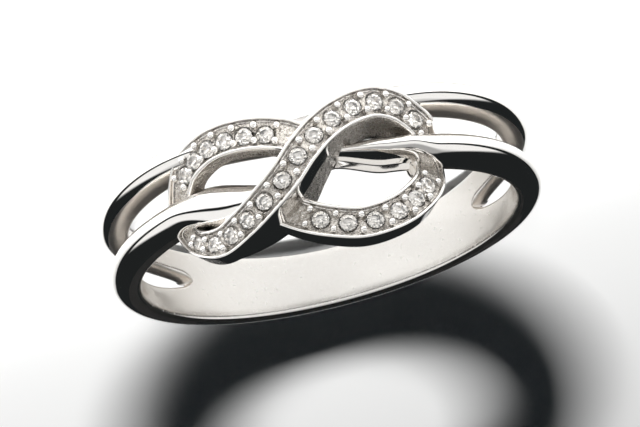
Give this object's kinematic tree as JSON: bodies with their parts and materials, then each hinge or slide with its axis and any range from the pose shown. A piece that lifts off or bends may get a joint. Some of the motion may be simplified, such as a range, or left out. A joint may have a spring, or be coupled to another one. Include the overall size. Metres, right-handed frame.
{
  "type": "knot ring",
  "caption": "Finger ring of white metal whose split band is woven through a figure-eight knot set with a channel of small round stones.",
  "frame": {"origin": "centre of the finger hole, on its axis, midway between the band's front and rear rims beside the knot", "axes": "+Z along the finger hole's axis, towards the rim that faces up as the ring lies; the knot faces -Y; +X runs along the knot, to the left of one who looks at it from the front with the front rim down"},
  "size_m": [0.0198, 0.0223, 0.0073],
  "materials": {
    "metal": "mirror-polished rhodium-plated sterling silver",
    "stone": "clear round brilliant, polished facets"
  },
  "bodies": {
    "root": {"ring_body": "metal", "stone_01": "stone", "stone_02": "stone", "stone_03": "stone", "stone_04": "stone", "stone_05": "stone", "stone_06": "stone", "stone_07": "stone", "stone_08": "stone", "stone_09": "stone", "stone_10": "stone", "stone_11": "stone", "stone_12": "stone", "stone_13": "stone", "stone_14": "stone", "stone_15": "stone", "stone_16": "stone", "stone_17": "stone", "stone_18": "stone", "stone_19": "stone", "stone_20": "stone", "stone_21": "stone", "stone_22": "stone", "stone_23": "stone", "stone_24": "stone", "stone_25": "stone"}
  },
  "joints": []
}
